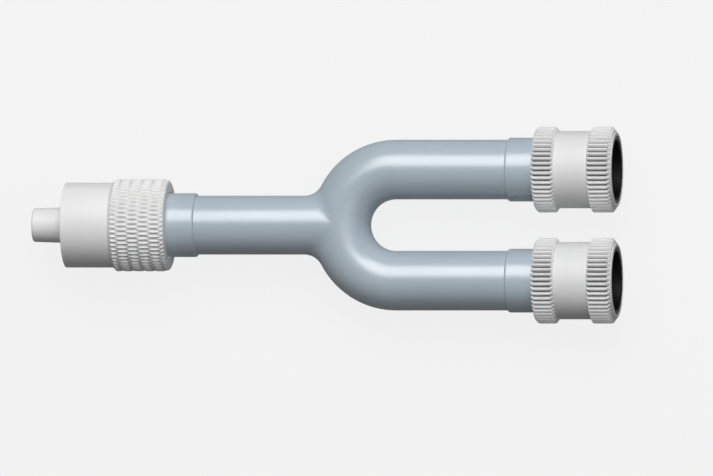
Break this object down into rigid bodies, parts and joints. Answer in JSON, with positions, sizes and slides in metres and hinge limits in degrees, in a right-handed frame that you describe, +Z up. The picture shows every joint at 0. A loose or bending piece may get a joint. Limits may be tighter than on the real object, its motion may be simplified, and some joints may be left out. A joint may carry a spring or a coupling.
{
  "type": "tubing y connector",
  "caption": "Moulded Y tube with a male taper tip and a free-turning knurled lock collar on its stem, and a ribbed grip with a push-in socket on each arm.",
  "frame": {"origin": "centre of the male taper tip's end face, on the axis of the stem", "axes": "+X runs along the stem from the tip towards the two arms, +Y from the lower arm to the upper arm, +Z up from the surface that the part lies on"},
  "size_m": [0.0704, 0.0234, 0.011],
  "materials": {
    "light_grey_plastic": "light grey moulded plastic with a faint satin sheen",
    "blue_grey_tube": "smooth blue-grey flexible moulding with a soft gloss",
    "black_plastic": "smooth black moulded plastic",
    "black_rubber": "black rubber"
  },
  "bodies": {
    "tube_body": {"y_tube": "blue_grey_tube", "luer_tip": "light_grey_plastic", "upper_socket": "black_plastic", "upper_seal_ring": "black_rubber", "upper_grip": "light_grey_plastic", "lower_socket": "black_plastic", "lower_seal_ring": "black_rubber", "lower_grip": "light_grey_plastic"},
    "lock_collar": {"luer_collar": "light_grey_plastic"}
  },
  "joints": [
    {"name": "collar_spin", "type": "hinge", "parent": "tube_body", "child": "lock_collar", "pos_m": [0.01153, 0, 0], "axis": [1, 0, 0], "continuous": true}
  ]
}
